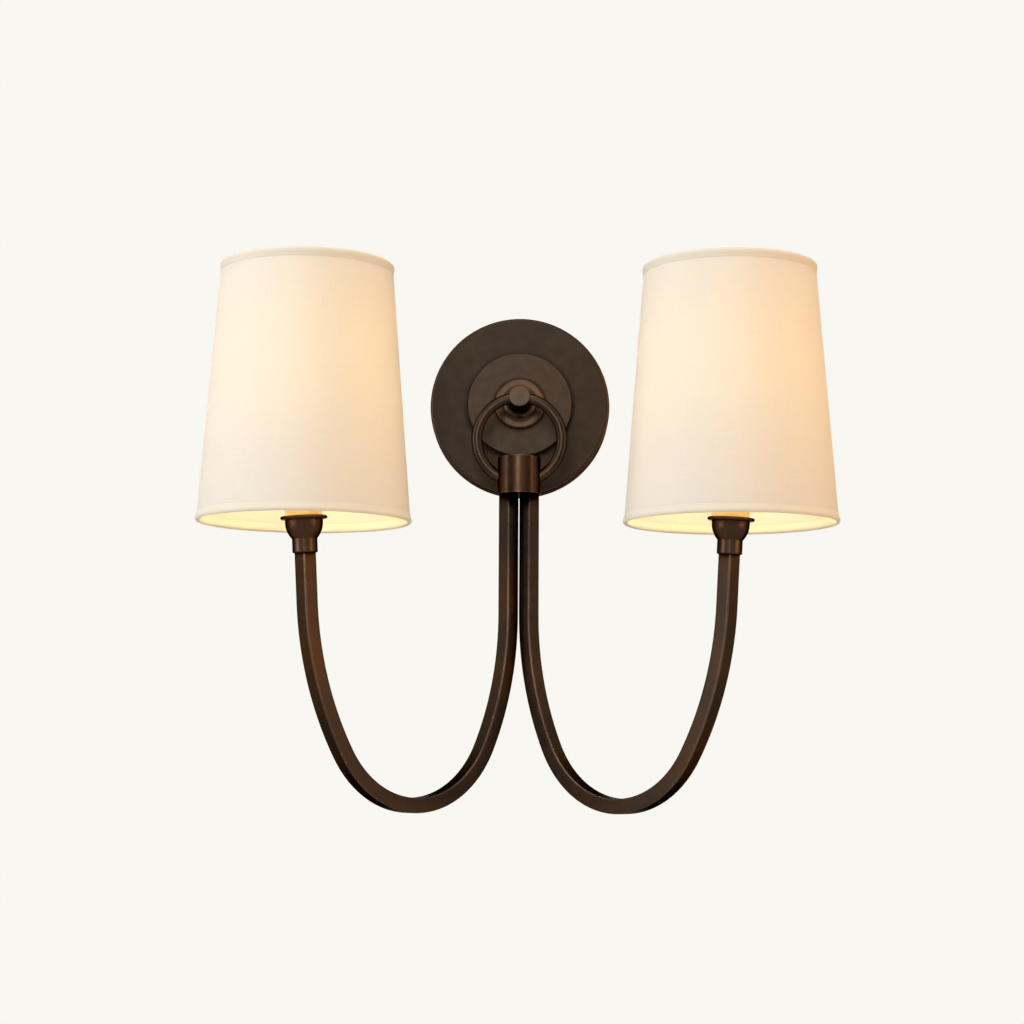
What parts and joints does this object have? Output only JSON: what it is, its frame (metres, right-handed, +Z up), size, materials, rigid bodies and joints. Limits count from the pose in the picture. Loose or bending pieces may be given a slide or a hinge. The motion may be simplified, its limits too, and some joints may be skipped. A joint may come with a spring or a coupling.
{
  "type": "double arm wall sconce",
  "caption": "Wall light with a round stepped canopy, a ring and collar, and square bar arms that swing down, out and up to candle sockets under tapered fabric shades.",
  "frame": {"origin": "centre of the box screw pattern, on the wall plane at the back of the canopy and strap", "axes": "+Z up, +X to the viewer's right along the wall, +Y into the wall; the sconce stands out towards -Y"},
  "size_m": [0.3858, 0.2411, 0.3304],
  "materials": {
    "canopy_bronze": "oil-rubbed bronze, satin, brushed edge wear",
    "disc_bronze": "oil-rubbed bronze, satin",
    "turned_bronze": "oil-rubbed bronze, satin with copper at the edges",
    "arm_bronze": "oil-rubbed bronze bar, satin",
    "plated_steel": "zinc plated",
    "ground_green": "green plated",
    "brass": "plain",
    "connector_orange": "moulded",
    "wire_jacket": "pvc",
    "socket_phenolic": "moulded phenolic",
    "candle_ivory": "ivory sleeve, satin",
    "lamp_brass": "spun thin brass",
    "lamp_insulator": "vitrite, dark",
    "lamp_solder": "tin",
    "lamp_glass": "frosted lightly, lit",
    "lamp_filament": "lit filament on its glass stem",
    "clip_spring": "spring wire",
    "frame_wire": "wire, coated",
    "linen_shade": "ivory linen on a stiff liner",
    "linen_hem": "folded linen tape"
  },
  "bodies": {
    "fixture": {"mounting_strap": "plated_steel", "ground_screw": "ground_green", "canopy": "canopy_bronze", "rim_bushes": "plated_steel", "set_screws": "turned_bronze", "middle_disc": "disc_bronze", "boss": "turned_bronze", "post": "turned_bronze", "stem_nipple": "brass", "lock_nut": "brass", "wire_connectors": "connector_orange", "collar": "turned_bronze", "collar_plate": "turned_bronze", "ring_left": "turned_bronze", "arm_left": "arm_bronze", "wires_left": "wire_jacket", "ferrule_left": "turned_bronze", "cup_left": "turned_bronze", "socket_nipple_left": "brass", "socket_nut_left": "brass", "socket_bracket_left": "plated_steel", "socket_body_left": "socket_phenolic", "socket_screw_shell_left": "brass", "socket_contact_left": "brass", "candle_sleeve_left": "candle_ivory", "ring_right": "turned_bronze", "arm_right": "arm_bronze", "wires_right": "wire_jacket", "ferrule_right": "turned_bronze", "cup_right": "turned_bronze", "socket_nipple_right": "brass", "socket_nut_right": "brass", "socket_bracket_right": "plated_steel", "socket_body_right": "socket_phenolic", "socket_screw_shell_right": "brass", "socket_contact_right": "brass", "candle_sleeve_right": "candle_ivory"},
    "bulb_lift_left": {"bulb_contact_left": "lamp_solder"},
    "bulb_left": {"bulb_base_left": "lamp_brass", "bulb_insulator_left": "lamp_insulator", "bulb_glass_left": "lamp_glass", "bulb_mount_left": "lamp_filament"},
    "clip_left": {"bulb_clip_left": "clip_spring"},
    "shade_left": {"shade_skin_left": "linen_shade", "shade_top_hem_left": "linen_hem", "shade_bottom_hem_left": "linen_hem", "shade_top_frame_left": "frame_wire", "shade_bottom_ring_left": "frame_wire"},
    "bulb_lift_right": {"bulb_contact_right": "lamp_solder"},
    "bulb_right": {"bulb_base_right": "lamp_brass", "bulb_insulator_right": "lamp_insulator", "bulb_glass_right": "lamp_glass", "bulb_mount_right": "lamp_filament"},
    "clip_right": {"bulb_clip_right": "clip_spring"},
    "shade_right": {"shade_skin_right": "linen_shade", "shade_top_hem_right": "linen_hem", "shade_bottom_hem_right": "linen_hem", "shade_top_frame_right": "frame_wire", "shade_bottom_ring_right": "frame_wire"}
  },
  "joints": [
    {"name": "bulb_rise_left", "type": "slide", "parent": "fixture", "child": "bulb_lift_left", "axis": [0, 0, 1], "range_m": [0, 0.00762]},
    {"name": "bulb_unscrew_left", "type": "hinge", "parent": "bulb_lift_left", "child": "bulb_left", "pos_m": [-0.12791, -0.17612, -0.045], "axis": [0, 0, 1], "range_deg": [0, 1080]},
    {"name": "shade_turn_left", "type": "hinge", "parent": "bulb_left", "child": "clip_left", "pos_m": [-0.12791, -0.17612, 0.042], "axis": [0, 0, 1], "continuous": true},
    {"name": "shade_tilt_left", "type": "hinge", "parent": "clip_left", "child": "shade_left", "pos_m": [-0.12791, -0.17612, 0.042], "axis": [1, 0, 0], "range_deg": [-10, 10]},
    {"name": "bulb_rise_right", "type": "slide", "parent": "fixture", "child": "bulb_lift_right", "axis": [0, 0, 1], "range_m": [0, 0.00762]},
    {"name": "bulb_unscrew_right", "type": "hinge", "parent": "bulb_lift_right", "child": "bulb_right", "pos_m": [0.12791, -0.17612, -0.045], "axis": [0, 0, 1], "range_deg": [0, 1080]},
    {"name": "shade_turn_right", "type": "hinge", "parent": "bulb_right", "child": "clip_right", "pos_m": [0.12791, -0.17612, 0.042], "axis": [0, 0, 1], "continuous": true},
    {"name": "shade_tilt_right", "type": "hinge", "parent": "clip_right", "child": "shade_right", "pos_m": [0.12791, -0.17612, 0.042], "axis": [1, 0, 0], "range_deg": [-10, 10]}
  ],
  "couplings": [
    {"joint": "bulb_unscrew_left", "follows": "bulb_rise_left", "rad_per_m": 2473.7},
    {"joint": "bulb_unscrew_right", "follows": "bulb_rise_right", "rad_per_m": 2473.7}
  ]
}
